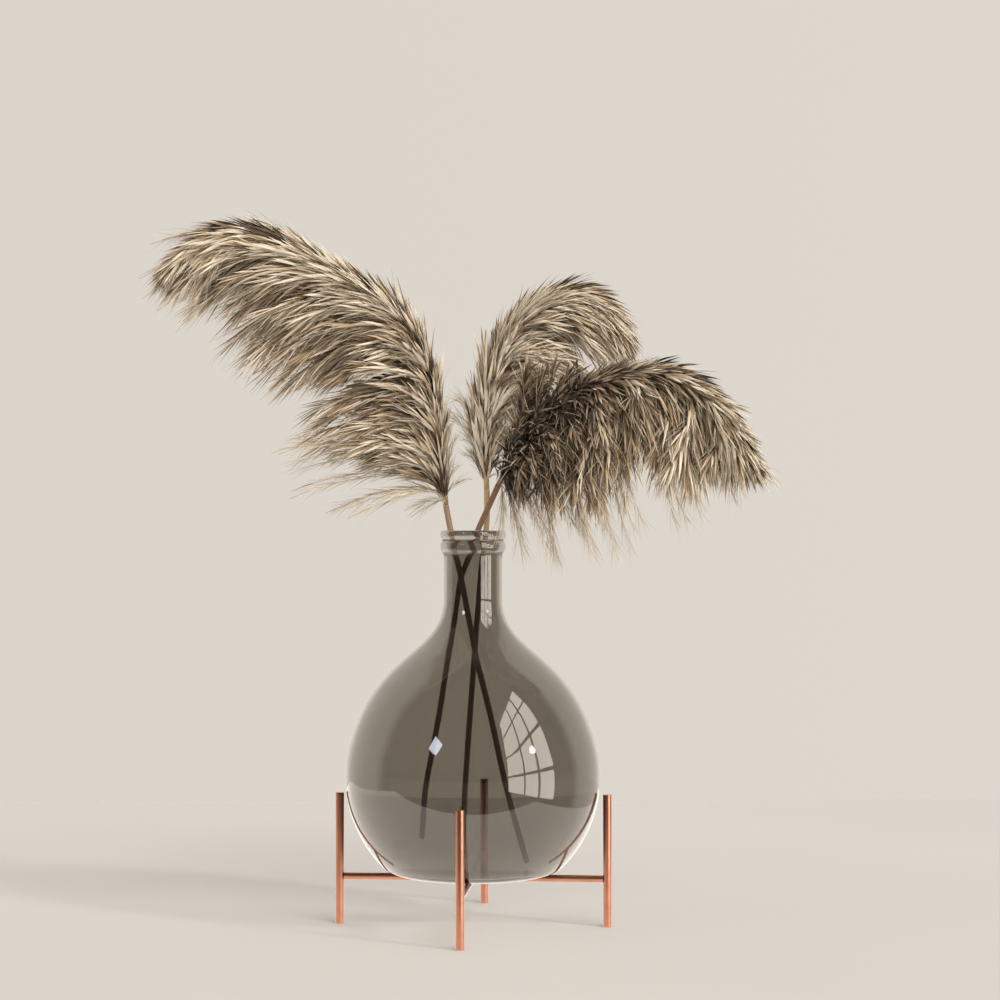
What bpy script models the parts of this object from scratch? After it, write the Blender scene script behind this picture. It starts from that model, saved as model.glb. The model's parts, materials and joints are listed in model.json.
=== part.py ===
# Vase of pampas grass: a round-bodied glass vase in a copper-coloured rod stand, with three plumes.
# Metres, +Z up. The vase's axis is the Z axis, the stand's feet are on z = 0, the front is -Y.
# Lengths below are in millimetres and are multiplied by MM where a mesh is made.
import math
import random

import bmesh
import bpy
import numpy as np
from mathutils import Matrix, Vector

MM = 0.001
GAP = 0.3  # between two pieces that touch

# Stand
LEG_DIAMETER = 8.5
LEG_HEIGHT = 131.0
LEG_CHAMFER = 0.5
LEG_CIRCLE_RADIUS = 134.0
STAND_TURN = -5.2  # degrees about Z
BAR_DIAMETER = 7.0
BAR_HEIGHT = 47.5  # of the bars' axes
ROD_SIDES = 12

# Vase
VASE_SIDES = 32
WALL = 3.0
FLOOR_THICKNESS = 4.0
BODY_RADIUS = 127.0
BODY_CENTRE_HEIGHT = 149.0
BASE_FLAT_RADIUS = 56.0
NECK_RADIUS = 29.4
NECK_FOOT_HEIGHT = 326.0
SHOULDER_ANGLE = 16.0  # degrees above the equator, where the sphere turns into the shoulder
RIM_RADIUS = 33.0
RIM_HEIGHT = 393.5

# Stems: (x, y, z) of the centre line, from the end inside the vase to where the plume starts
STEM_RADIUS = 3.0
STEM_LEFT = [
    (54.5, 15, 59.6), (34.5, 11, 131.5), (18, 7, 206), (5, 4, 258), (-1.5, 2, 291),
    (-12, -1, 347), (-17, -2, 369), (-22.3, -3, 393.5), (-27, -4, 418),
]
STEM_MIDDLE = [
    (-11, 45, 60.0), (-8, 36, 132), (-3, 27, 206), (1, 20, 258), (3.3, 15.5, 294), (6, 12, 324),
    (9, 7, 363), (13.2, 3, 394), (14, 0, 414), (13.8, -1.5, 434),
]
STEM_RIGHT = [
    (-53.2, 77, 75.5), (-49.5, 67.5, 124), (-43.5, 58, 159), (-34.5, 45.5, 206), (-28, 34.5, 247),
    (-21, 22.5, 291), (-15.5, 12.8, 328), (-12, 8, 347), (-4, 1.5, 368), (5, -5, 394), (15.5, -11, 417),
    (25, -17, 438),
]

# Plumes. The rachis carries on from its stem. A lock that leaves it a share s of the way along ends
# between the tip rails: "inner" on the hanging side, "outer" on the back of the bend. "depth" is how
# far a lock's tip stands off in Y. Rows of the rails are (s, x, z).
LOCK_STATIONS = [(0.0, 0.3), (0.32, 1.0), (0.7, 0.8), (1.0, 0.05)]  # (share of its length, of full radius)
RACHIS_RADIUS = (3.0, 1.4)
PLUME_LEFT = {
    "seed": 3,
    "locks": 44,
    "crowd": 0.95,
    "rachis": [
        (-31, -6, 455), (-34, -10, 493), (-37.5, -15, 525), (-43, -20, 553), (-55, -27, 583), (-74, -34, 607),
        (-101, -44, 627), (-134, -55, 645), (-169, -64, 665), (-201, -73, 680), (-233, -79, 682), (-262, -84, 669),
        (-289, -88, 647),
    ],
    "inner": [
        (0, -92, 406), (0.03, -134, 404), (0.07, -172, 416), (0.11, -186, 440), (0.15, -196, 466), (0.19, -194, 486),
        (0.24, -176, 510), (0.3, -172, 532), (0.35, -186, 540), (0.4, -200, 522), (0.48, -234, 522), (0.56, -260, 541),
        (0.64, -268, 568), (0.72, -284, 590), (0.8, -298, 604), (0.9, -308, 612), (1, -318, 622),
    ],
    "outer": [
        (0, -23, 469), (0.1, -26, 518), (0.2, -30, 566), (0.3, -33, 602), (0.4, -54, 634), (0.5, -84, 654),
        (0.6, -130, 676), (0.7, -182, 699), (0.8, -234, 700), (0.9, -284, 672), (1, -318, 624),
    ],
    "depth": [(0, 44), (0.25, 56), (0.7, 46), (1, 16)],
    "radius": [(0, 9), (0.3, 14), (0.7, 12.5), (1, 6)],
}
PLUME_MIDDLE = {
    "seed": 5,
    "locks": 28,
    "crowd": 0.95,
    "rachis": [
        (12, 0, 474), (13, 12, 514), (17, 20, 551), (28, 29, 586), (47, 38, 613),
        (74, 47, 633), (102, 55, 641), (128, 62, 632), (148, 67, 609), (159, 70, 582),
    ],
    "inner": [
        (0, 42, 468), (0.15, 54, 500), (0.3, 68, 522), (0.45, 96, 532), (0.6, 126, 542), (0.75, 148, 556),
        (0.9, 160, 562), (1, 162, 566),
    ],
    "outer": [
        (0, -15, 515), (0.1, -13, 552), (0.22, -5, 592), (0.35, 15, 614), (0.5, 46, 640), (0.65, 80, 655),
        (0.8, 113, 648), (0.9, 139, 624), (1, 161, 584),
    ],
    "depth": [(0, 32), (0.3, 44), (0.7, 40), (1, 16)],
    "radius": [(0, 9), (0.3, 13.5), (0.7, 12), (1, 6)],
}
PLUME_RIGHT = {
    "seed": 8,
    "locks": 36,
    "crowd": 0.95,
    "rachis": [
        (38, -24, 462), (55, -30, 488), (75, -34, 511), (99, -36, 529), (130, -35, 544),
        (166, -30, 551), (201, -22, 548), (230, -13, 532), (251, -4, 508), (268, 4, 481), (284, 12, 458),
    ],
    "inner": [
        (0, 46, 414), (0.08, 54, 386), (0.15, 70, 366), (0.25, 102, 360), (0.35, 126, 370), (0.42, 150, 396),
        (0.5, 170, 418), (0.58, 188, 404), (0.66, 214, 402), (0.75, 238, 416), (0.85, 264, 428), (0.93, 288, 434),
        (1, 310, 440),
    ],
    "outer": [
        (0, 33, 488), (0.1, 58, 524), (0.3, 126, 557), (0.45, 178, 565), (0.6, 228, 556), (0.75, 269, 514),
        (0.9, 301, 472), (1, 314, 446),
    ],
    "depth": [(0, 32), (0.3, 50), (0.7, 44), (1, 16)],
    "radius": [(0, 9), (0.3, 14), (0.7, 12.5), (1, 6)],
}
# The middle plume stays behind this upright plane and the right one in front of it: y = at + slope * x
DIVIDE_AT = -14.0
DIVIDE_SLOPE = 0.22
GOLDEN_ANGLE = 2.39996


def clear_scene():
    for obj in list(bpy.data.objects):
        bpy.data.objects.remove(obj, do_unlink=True)


def material(name, colour, metallic, roughness, transmission=0.0):
    mat = bpy.data.materials.new(name)
    mat.use_nodes = True
    shader = mat.node_tree.nodes["Principled BSDF"]
    shader.inputs["Base Color"].default_value = (*colour, 1.0)
    shader.inputs["Metallic"].default_value = metallic
    shader.inputs["Roughness"].default_value = roughness
    shader.inputs["Transmission Weight"].default_value = transmission
    return mat


def add_object(name, mesh, collection, mat=None, sharp_over=None):
    obj = bpy.data.objects.new(name, mesh)
    collection.objects.link(obj)
    if mat:
        mesh.materials.append(mat)
    if sharp_over is not None:
        for face in mesh.polygons:
            face.use_smooth = True
        mesh.set_sharp_from_angle(angle=math.radians(sharp_over))
    return obj


def add_cutter(name, mesh, cutters):
    obj = add_object(name, mesh, cutters)
    obj.hide_render = True
    obj.display_type = "WIRE"
    return obj


def boolean(obj, operation, other):
    mod = obj.modifiers.new(operation.lower(), "BOOLEAN")
    mod.operation = operation
    mod.solver = "EXACT"
    mod.object = other
    return mod


def cylinder_mesh(name, radius, start, end, sides=ROD_SIDES):
    start, end = Vector(start), Vector(end)
    bm = bmesh.new()
    bmesh.ops.create_cone(
        bm, cap_ends=True, segments=sides, radius1=radius, radius2=radius, depth=(end - start).length
    )
    turn = (end - start).to_track_quat("Z", "Y").to_matrix().to_4x4()
    bmesh.ops.transform(bm, matrix=Matrix.Translation((start + end) / 2) @ turn, verts=bm.verts)
    bmesh.ops.scale(bm, vec=(MM, MM, MM), verts=bm.verts)
    mesh = bpy.data.meshes.new(name)
    bm.to_mesh(mesh)
    bm.free()
    return mesh


def box_mesh(name, centre, size, turn=0.0):
    bm = bmesh.new()
    bmesh.ops.create_cube(bm, size=1.0)
    bmesh.ops.scale(bm, vec=size, verts=bm.verts)
    place = Matrix.Translation(centre) @ Matrix.Rotation(turn, 4, "Z")
    bmesh.ops.transform(bm, matrix=place, verts=bm.verts)
    bmesh.ops.scale(bm, vec=(MM, MM, MM), verts=bm.verts)
    mesh = bpy.data.meshes.new(name)
    bm.to_mesh(mesh)
    bm.free()
    return mesh


def leg_position(quarter):
    """Quarter turns anticlockwise from the right-hand leg."""
    angle = math.radians(STAND_TURN + 90 * quarter)
    return LEG_CIRCLE_RADIUS * math.cos(angle), LEG_CIRCLE_RADIUS * math.sin(angle)


def add_leg(name, quarter, collection, mat):
    x, y = leg_position(quarter)
    mesh = cylinder_mesh(name, LEG_DIAMETER / 2, (x, y, 0), (x, y, LEG_HEIGHT))
    leg = add_object(name, mesh, collection, mat, sharp_over=40)
    bevel = leg.modifiers.new("chamfer", "BEVEL")
    bevel.width = LEG_CHAMFER * MM
    bevel.segments = 1
    bevel.limit_method = "ANGLE"
    bevel.angle_limit = math.radians(60)
    return leg


def add_bar(name, quarter, lap_above, collection, cutters, mat):
    """A round bar between two opposite legs, saddle-cut to them and halved where the bars cross."""
    x, y = leg_position(quarter)
    mesh = cylinder_mesh(name, BAR_DIAMETER / 2, (-x, -y, BAR_HEIGHT), (x, y, BAR_HEIGHT))
    bar = add_object(name, mesh, collection, mat, sharp_over=40)
    for end in (quarter, quarter + 2):
        ex, ey = leg_position(end)
        saddle = cylinder_mesh(name + "_saddle", LEG_DIAMETER / 2 + GAP, (ex, ey, 30), (ex, ey, 65), 32)
        boolean(bar, "DIFFERENCE", add_cutter(name + "_saddle", saddle, cutters))
    half = BAR_DIAMETER / 2 + 2
    offset = half - GAP / 2 if lap_above else GAP / 2 - half
    lap = box_mesh(
        name + "_lap",
        (0, 0, BAR_HEIGHT + offset),
        (BAR_DIAMETER + 2 * GAP, BAR_DIAMETER + 2 * GAP, 2 * half),
        math.radians(STAND_TURN),
    )
    boolean(bar, "DIFFERENCE", add_cutter(name + "_lap", lap, cutters))
    return bar


def bezier(p0, p1, p2, p3, count):
    t = np.linspace(0, 1, count)[:, None]
    p0, p1, p2, p3 = (np.array(p, float) for p in (p0, p1, p2, p3))
    return (1 - t) ** 3 * p0 + 3 * (1 - t) ** 2 * t * p1 + 3 * (1 - t) * t * t * p2 + t**3 * p3


def body_profile(inset, shoulder_points, ball_points, corner_points):
    """(radius, height) from the foot of the neck down to the edge of the flat base, drawn in by inset."""
    start = math.radians(SHOULDER_ANGLE)
    radius = BODY_RADIUS - inset
    neck = NECK_RADIUS - inset
    turn = (radius * math.cos(start), BODY_CENTRE_HEIGHT + radius * math.sin(start))
    shoulder = bezier(
        (neck, NECK_FOOT_HEIGHT),
        (neck, NECK_FOOT_HEIGHT - 56),
        (turn[0] - 96 * math.sin(start), turn[1] + 96 * math.cos(start)),
        turn,
        shoulder_points,
    )
    angles = np.radians(np.linspace(SHOULDER_ANGLE, -45, ball_points)[1:])
    ball = np.stack([radius * np.cos(angles), BODY_CENTRE_HEIGHT + radius * np.sin(angles)], axis=1)
    base = 51.3 + (FLOOR_THICKNESS if inset else 0)
    corner_r, corner_z = ball[-1]
    reach = (corner_z - base) * 0.68
    corner = bezier(
        ball[-1],
        (corner_r - reach, corner_z - reach),
        (BASE_FLAT_RADIUS + 18, base),
        (BASE_FLAT_RADIUS, base),
        corner_points,
    )
    return [tuple(p) for p in shoulder] + [tuple(p) for p in ball] + [tuple(p) for p in corner[1:]]


def vase_profile():
    """Up the inside from the middle of the floor, over the rim and down the outside."""
    outside = body_profile(0.0, 8, 7, 3)
    inside = body_profile(WALL, 6, 6, 3)
    bore = NECK_RADIUS - WALL
    rim = [
        (bore, RIM_HEIGHT - 2.0),
        (bore + 0.9, RIM_HEIGHT - 0.5),
        (bore + 2.2, RIM_HEIGHT),
        (RIM_RADIUS - 1.8, RIM_HEIGHT),
        (RIM_RADIUS - 0.4, RIM_HEIGHT - 1.2),
        (RIM_RADIUS, RIM_HEIGHT - 3.5),
        (RIM_RADIUS - 0.6, RIM_HEIGHT - 6.8),
        (RIM_RADIUS - 2.0, RIM_HEIGHT - 9.5),
        (RIM_RADIUS - 0.6, RIM_HEIGHT - 12.4),
        (RIM_RADIUS, RIM_HEIGHT - 16.0),
        (RIM_RADIUS - 0.7, RIM_HEIGHT - 19.2),
        (NECK_RADIUS + 0.6, RIM_HEIGHT - 22.5),
        (NECK_RADIUS, RIM_HEIGHT - 26.5),
    ]
    return [(0.0, inside[-1][1])] + inside[::-1] + rim + outside + [(0.0, outside[-1][1])]


def add_vase(collection, mat):
    mesh = bpy.data.meshes.new("vase")
    points = [(r * MM, 0.0, z * MM) for r, z in vase_profile()]
    mesh.from_pydata(points, [(i, i + 1) for i in range(len(points) - 1)], [])
    vase = add_object("vase", mesh, collection, mat)
    screw = vase.modifiers.new("revolve", "SCREW")
    screw.axis = "Z"
    screw.steps = screw.render_steps = VASE_SIDES
    screw.use_merge_vertices = True
    screw.merge_threshold = 0.00002
    screw.use_smooth_shade = True
    return vase


def spline(points, count):
    """Points evenly spaced along a smooth curve through the given ones."""
    p = [np.array(q, float) for q in points]
    p = [2 * p[0] - p[1]] + p + [2 * p[-1] - p[-2]]
    fine = []
    for a, b, c, d in zip(p, p[1:], p[2:], p[3:]):
        for t in np.arange(0, 1, 1 / 16):
            fine.append(
                0.5 * (2 * b + (c - a) * t + (2 * a - 5 * b + 4 * c - d) * t * t + (3 * b - a - 3 * c + d) * t**3)
            )
    fine = np.array(fine + [p[-2]])
    run = np.concatenate([[0], np.cumsum(np.linalg.norm(np.diff(fine, axis=0), axis=1))])
    return np.stack([np.interp(np.linspace(0, run[-1], count), run, fine[:, k]) for k in range(3)], axis=1)


def rail(rows, s):
    keys = [row[0] for row in rows]
    return np.array([np.interp(s, keys, [row[k] for row in rows]) for k in range(1, len(rows[0]))])


def unit(vector):
    return vector / max(np.linalg.norm(vector), 1e-9)


def lock_path(plume, axis, s, angle, stretch, count):
    """Centre line of one lock, which leaves the rachis along it and bends over to its tip."""
    place = s * (len(axis) - 1)
    i = min(int(place), len(axis) - 2)
    start = axis[i] + (axis[i + 1] - axis[i]) * (place - i)
    along = unit(axis[min(i + 3, len(axis) - 1)] - axis[max(i - 2, 0)])
    share = (1 + math.cos(angle)) / 2
    x, z = rail(plume["outer"], s) * (1 - share) + rail(plume["inner"], s) * share
    tip = np.array([x, start[1] + rail(plume["depth"], s)[0] * math.sin(angle), z])
    tip = start + (tip - start) * stretch
    length = np.linalg.norm(tip - start)
    fall = unit(unit(tip - start) + np.array([0, 0, -0.75 * share]))
    return bezier(start, start + along * length * (0.2 + 0.22 * share), tip - fall * length * 0.36, tip, count)


def locks_of(plume, stem_line):
    """(centre line, share along the rachis, share of the way to the hanging side) of each lock.

    The locks turn round the rachis by the golden angle from one to the next."""
    rng = random.Random(plume["seed"])
    foot = stem_line[-1] + end_direction(stem_line) * (GAP + 0.1)
    axis = spline([foot] + plume["rachis"], 61)
    locks = []
    for i in range(plume["locks"]):
        s = ((i + 0.5) / plume["locks"]) ** plume["crowd"]
        angle = i * GOLDEN_ANGLE + rng.uniform(-0.25, 0.25)
        path = lock_path(plume, axis, s, angle, rng.uniform(0.88, 1.0), 25)
        locks.append((path, s, (1 + math.cos(angle)) / 2))
    return axis, locks


def tube_curve(name, lines, bevel_resolution):
    """Round tubes along lines of points, each line with the tube's radius at each of its points."""
    curve = bpy.data.curves.new(name, "CURVE")
    curve.dimensions = "3D"
    curve.bevel_depth = MM
    curve.bevel_resolution = bevel_resolution
    curve.use_fill_caps = True
    for points, radii in lines:
        line = curve.splines.new("POLY")
        line.points.add(len(points) - 1)
        for target, point, radius in zip(line.points, points, radii):
            target.co = (*(Vector(point) * MM), 1.0)
            target.radius = radius
    return curve


def tube_mesh(name, lines, bevel_resolution):
    """The same tubes as a mesh, with their caps welded on."""
    guide = bpy.data.objects.new(name + "_guide", tube_curve(name + "_guide", lines, bevel_resolution))
    bpy.context.scene.collection.objects.link(guide)
    graph = bpy.context.evaluated_depsgraph_get()
    mesh = bpy.data.meshes.new_from_object(guide.evaluated_get(graph))
    mesh.name = name
    bpy.data.objects.remove(guide, do_unlink=True)
    bm = bmesh.new()
    bm.from_mesh(mesh)
    bmesh.ops.remove_doubles(bm, verts=bm.verts, dist=0.00001)
    bmesh.ops.recalc_face_normals(bm, faces=bm.faces)
    bm.to_mesh(mesh)
    bm.free()
    return mesh


def keep_side(points, radii, side):
    """Moves a lock off the plane that divides the middle plume from the right one."""
    if side:
        divide = DIVIDE_AT + DIVIDE_SLOPE * points[:, 0]
        points[:, 1] = divide + side * np.maximum(side * (points[:, 1] - divide), 1.03 * radii + 0.5)
    return points


def end_direction(line):
    return unit(line[-1] - line[-2])


def add_plume(name, plume, side, stem_line, collection, cutters, mat):
    """The rachis that carries on from its stem, and every lock on it, as one body."""
    axis, locks = locks_of(plume, stem_line)
    shares = np.array([station[0] for station in LOCK_STATIONS])
    widths = np.array([station[1] for station in LOCK_STATIONS])
    lines = []
    for path, s, share in locks:
        points = path[np.round(shares * (len(path) - 1)).astype(int)].copy()
        radii = widths * rail(plume["radius"], s)[0] * (0.55 + 0.45 * share)
        lines.append((keep_side(points, radii, side), radii))
    foot = axis[0] + end_direction(stem_line) * 3
    core = [axis[0], foot] + list(axis[4::4])
    core_mesh = tube_mesh(name + "_rachis", [(core, np.linspace(*RACHIS_RADIUS, len(core)))], 1)
    loose = add_object(name + "_locks", tube_mesh(name + "_locks", lines, 0), cutters)
    boolean(loose, "UNION", add_cutter(name + "_rachis", core_mesh, cutters)).use_self = True
    graph = bpy.context.evaluated_depsgraph_get()
    mesh = bpy.data.meshes.new_from_object(loose.evaluated_get(graph))
    mesh.name = name
    bpy.data.objects.remove(loose, do_unlink=True)
    fill_hollows(mesh)
    return add_object(name, mesh, collection, mat, sharp_over=50)


def fill_hollows(mesh):
    """Deletes the skin of each space that crossing locks close off, and crumbs, so that the plume is solid there."""
    bm = bmesh.new()
    bm.from_mesh(mesh)
    unseen = set(bm.faces)
    while unseen:
        island = {unseen.pop()}
        edge_of_island = list(island)
        while edge_of_island:
            face = edge_of_island.pop()
            for edge in face.edges:
                # Two skins that touch along an edge stay two islands
                for other in edge.link_faces if len(edge.link_faces) == 2 else ():
                    if other in unseen:
                        unseen.discard(other)
                        island.add(other)
                        edge_of_island.append(other)
        volume = 0.0
        for face in island:
            first = face.verts[0].co
            for second, third in zip(face.verts[1:], face.verts[2:]):
                volume += first.dot(second.co.cross(third.co))
        if volume / 6 < MM**3:
            bmesh.ops.delete(bm, geom=list(island), context="FACES")
            unseen = {face for face in unseen if face.is_valid}
    bm.to_mesh(mesh)
    bm.free()


def add_stem(name, line, collection, mat):
    stem = bpy.data.objects.new(name, tube_curve(name, [(line, [STEM_RADIUS] * len(line))], 2))
    collection.objects.link(stem)
    stem.data.materials.append(mat)
    return stem


def main():
    clear_scene()
    scene = bpy.context.scene
    collection = bpy.data.collections.new("vase_of_pampas_grass")
    cutters = bpy.data.collections.new("cutters")
    cutters.hide_render = True
    scene.collection.children.link(collection)
    scene.collection.children.link(cutters)

    copper = (0.72, 0.33, 0.2)
    for name, quarter in (("leg_right", 0), ("leg_back", 1), ("leg_left", 2), ("leg_front", 3)):
        add_leg(name, quarter, collection, material(name + "_copper", copper, 1.0, 0.3))
    for name, quarter, lap_above in (("bar_left_right", 0, True), ("bar_front_back", 1, False)):
        add_bar(name, quarter, lap_above, collection, cutters, material(name + "_copper", copper, 1.0, 0.3))
    add_vase(collection, material("vase_smoked_glass", (0.3, 0.27, 0.24), 0.0, 0.02, 1.0))
    straw = (0.42, 0.33, 0.23)
    lines = {}
    for name, points in (("stem_left", STEM_LEFT), ("stem_middle", STEM_MIDDLE), ("stem_right", STEM_RIGHT)):
        lines[name] = spline(points, 12)
        add_stem(name, lines[name], collection, material(name + "_dry_cane", (0.36, 0.2, 0.1), 0.0, 0.55))
    for name, plume, side in (
        ("left", PLUME_LEFT, 0),
        ("middle", PLUME_MIDDLE, 1),
        ("right", PLUME_RIGHT, -1),
    ):
        mat = material("plume_" + name + "_dry_grass", straw, 0.0, 0.8)
        add_plume("plume_" + name, plume, side, lines["stem_" + name], collection, cutters, mat)


main()
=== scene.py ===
# Vase of pampas grass: a smoked glass vase in a copper rod stand, with three dried plumes.
import json
import math
import random

import bpy
import numpy as np
from mathutils import Matrix, Vector

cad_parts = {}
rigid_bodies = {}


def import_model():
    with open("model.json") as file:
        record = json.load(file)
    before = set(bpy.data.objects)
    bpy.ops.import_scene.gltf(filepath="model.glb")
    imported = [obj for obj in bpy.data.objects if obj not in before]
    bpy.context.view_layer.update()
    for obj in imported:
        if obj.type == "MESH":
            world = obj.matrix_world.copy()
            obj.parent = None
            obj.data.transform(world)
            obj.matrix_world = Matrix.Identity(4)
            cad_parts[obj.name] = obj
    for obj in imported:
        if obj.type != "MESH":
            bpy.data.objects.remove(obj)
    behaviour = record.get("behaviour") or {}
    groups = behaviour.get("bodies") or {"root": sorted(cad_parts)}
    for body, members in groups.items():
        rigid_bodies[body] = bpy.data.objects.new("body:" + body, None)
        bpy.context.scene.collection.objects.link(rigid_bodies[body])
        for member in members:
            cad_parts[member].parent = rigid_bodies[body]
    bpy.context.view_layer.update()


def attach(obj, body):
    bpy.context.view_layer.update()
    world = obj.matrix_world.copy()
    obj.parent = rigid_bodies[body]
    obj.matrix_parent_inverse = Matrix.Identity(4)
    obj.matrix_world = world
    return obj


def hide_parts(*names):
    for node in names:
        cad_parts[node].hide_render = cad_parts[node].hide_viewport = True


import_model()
scene = bpy.context.scene
mm = 0.001

print("camera")
camera = {
    "lens": 79.6,  # mm
    "sensor": 36.0,
    "place": (0.0, -2.212, 0.389),
    "turn": (90.907, 0.0, -0.70),  # degrees: a little up and to the right, as the photo is framed
}
cameraData = bpy.data.cameras.new("camera")
cameraData.lens = camera["lens"]
cameraData.sensor_width = camera["sensor"]
cameraData.clip_end = 50
cameraObject = bpy.data.objects.new("camera", cameraData)
cameraObject.location = camera["place"]
cameraObject.rotation_euler = [math.radians(a) for a in camera["turn"]]
scene.collection.objects.link(cameraObject)
scene.camera = cameraObject
scene.view_settings.view_transform = "Standard"


def linearColour(hexCode):
    parts = [int(hexCode[i : i + 2], 16) / 255 for i in (1, 3, 5)]
    return tuple(c / 12.92 if c <= 0.04045 else ((c + 0.055) / 1.055) ** 2.4 for c in parts) + (1.0,)


def addNode(tree, kind, settings=None, links=None):
    # settings: socket name or number, or node property; links: input -> (node, output)
    node = tree.nodes.new(kind)
    for key, value in (settings or {}).items():
        if isinstance(key, str) and hasattr(node, key) and key not in node.inputs:
            setattr(node, key, value)
        else:
            node.inputs[key].default_value = value
    for key, (source, output) in (links or {}).items():
        tree.links.new(source.outputs[output], node.inputs[key])
    return node


def newMaterial(name):
    material = bpy.data.materials.new(name)
    material.use_nodes = True
    tree = material.node_tree
    return material, tree, tree.nodes["Principled BSDF"]


def setStops(ramp, stops):
    elements = ramp.color_ramp.elements
    while len(elements) > 2:
        elements.remove(elements[-1])
    while len(elements) < len(stops):
        elements.new(0.5)
    for element, (place, colour) in zip(elements, stops):
        element.position = place
        element.color = linearColour(colour)


def smokedGlass():
    # Blown soda-lime glass, tinted through: deep grey-brown face on, clear and pale where it turns away
    material, tree, shader = newMaterial("blown_smoked_glass")
    shader.inputs["Base Color"].default_value = linearColour("#ACA8A1")
    shader.inputs["IOR"].default_value = 1.58
    shader.inputs["Transmission Weight"].default_value = 1.0
    where = addNode(tree, "ShaderNodeTexCoord")
    # Faint waves 40 mm apart that hand-blown glass has, which only bend its reflections
    waves = addNode(tree, "ShaderNodeTexNoise", {"Scale": 25.0, "Detail": 1.0}, {"Vector": (where, "Object")})
    bump = addNode(tree, "ShaderNodeBump", {"Strength": 0.05, "Distance": 0.0006}, {"Height": (waves, "Fac")})
    tree.links.new(bump.outputs["Normal"], shader.inputs["Normal"])
    # A trace of handling haze
    haze = addNode(tree, "ShaderNodeTexNoise", {"Scale": 60.0, "Detail": 4.0}, {"Vector": (where, "Object")})
    rough = addNode(
        tree, "ShaderNodeMapRange", {"From Min": 0.4, "From Max": 0.8, "To Min": 0.0, "To Max": 0.03},
        {"Value": (haze, "Fac")},
    )
    tree.links.new(rough.outputs["Result"], shader.inputs["Roughness"])
    return material


def satinCopper():
    # Copper rod, drawn, satin polished along its length and lacquered: soft bright lines with darker flanks
    material, tree, shader = newMaterial("satin_drawn_copper")
    shader.inputs["Metallic"].default_value = 1.0
    shader.inputs["Coat Weight"].default_value = 0.4
    shader.inputs["Coat Roughness"].default_value = 0.18
    where = addNode(tree, "ShaderNodeTexCoord")
    # Handling and slight tarnish, in patches about 15 mm across
    patches = addNode(tree, "ShaderNodeTexNoise", {"Scale": 65.0, "Detail": 3.0}, {"Vector": (where, "Object")})
    tone = addNode(tree, "ShaderNodeValToRGB", {}, {"Fac": (patches, "Fac")})
    setStops(tone, [(0.3, "#A66F58"), (0.75, "#B37E66")])
    tree.links.new(tone.outputs["Color"], shader.inputs["Base Color"])
    # Polishing lines along the rod, drawn 0.4 mm apart so that they show; the UV runs round and along it
    lines = addNode(tree, "ShaderNodeMapping", {"Scale": (60.0, 1.5, 1.0)}, {"Vector": (where, "UV")})
    grain = addNode(tree, "ShaderNodeTexNoise", {"Scale": 1.0, "Detail": 3.0}, {"Vector": (lines, "Vector")})
    rough = addNode(
        tree, "ShaderNodeMapRange", {"From Min": 0.3, "From Max": 0.7, "To Min": 0.32, "To Max": 0.42},
        {"Value": (grain, "Fac")},
    )
    tree.links.new(rough.outputs["Result"], shader.inputs["Roughness"])
    bump = addNode(tree, "ShaderNodeBump", {"Strength": 0.05, "Distance": 0.0001}, {"Height": (grain, "Fac")})
    tree.links.new(bump.outputs["Normal"], shader.inputs["Normal"])
    return material


def dryCane(name, top, foot, change):
    # Dried grass stalk: waxy tan with fine fibres along it; dark brown below the rim is painted shade for the part
    # inside the smoked glass
    material, tree, shader = newMaterial(name)
    where = addNode(tree, "ShaderNodeTexCoord")
    # Fibres 0.3 mm apart round the stalk and 30 mm long; the UV runs round it and along it in 100 mm steps
    stretch = addNode(tree, "ShaderNodeMapping", {"Scale": (34.0, 14.0, 1.0)}, {"Vector": (where, "UV")})
    fibres = addNode(tree, "ShaderNodeTexNoise", {"Scale": 1.0, "Detail": 4.0}, {"Vector": (stretch, "Vector")})
    along = addNode(tree, "ShaderNodeSeparateXYZ", {}, {"Vector": (where, "UV")})
    # painted shade: blends from the dark foot colours below the rim to the stalk's own colours above
    footShadeBlend = addNode(
        tree, "ShaderNodeMapRange",
        {"interpolation_type": "SMOOTHSTEP", "From Min": change - 0.3, "From Max": change + 0.1},
        {"Value": (along, "Y")},
    )
    ends = []
    for pale, dark in (foot, top):
        tone = addNode(tree, "ShaderNodeValToRGB", {}, {"Fac": (fibres, "Fac")})
        setStops(tone, [(0.32, dark), (0.68, pale)])
        ends.append(tone)
    colour = addNode(tree, "ShaderNodeMix", {"data_type": "RGBA"}, {"Factor": (footShadeBlend, "Result")})
    tree.links.new(ends[0].outputs["Color"], colour.inputs[6])
    tree.links.new(ends[1].outputs["Color"], colour.inputs[7])
    tree.links.new(colour.outputs[2], shader.inputs["Base Color"])
    shader.inputs["Roughness"].default_value = 0.5
    bump = addNode(tree, "ShaderNodeBump", {"Strength": 0.35, "Distance": 0.0003}, {"Height": (fibres, "Fac")})
    tree.links.new(bump.outputs["Normal"], shader.inputs["Normal"])
    return material


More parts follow.
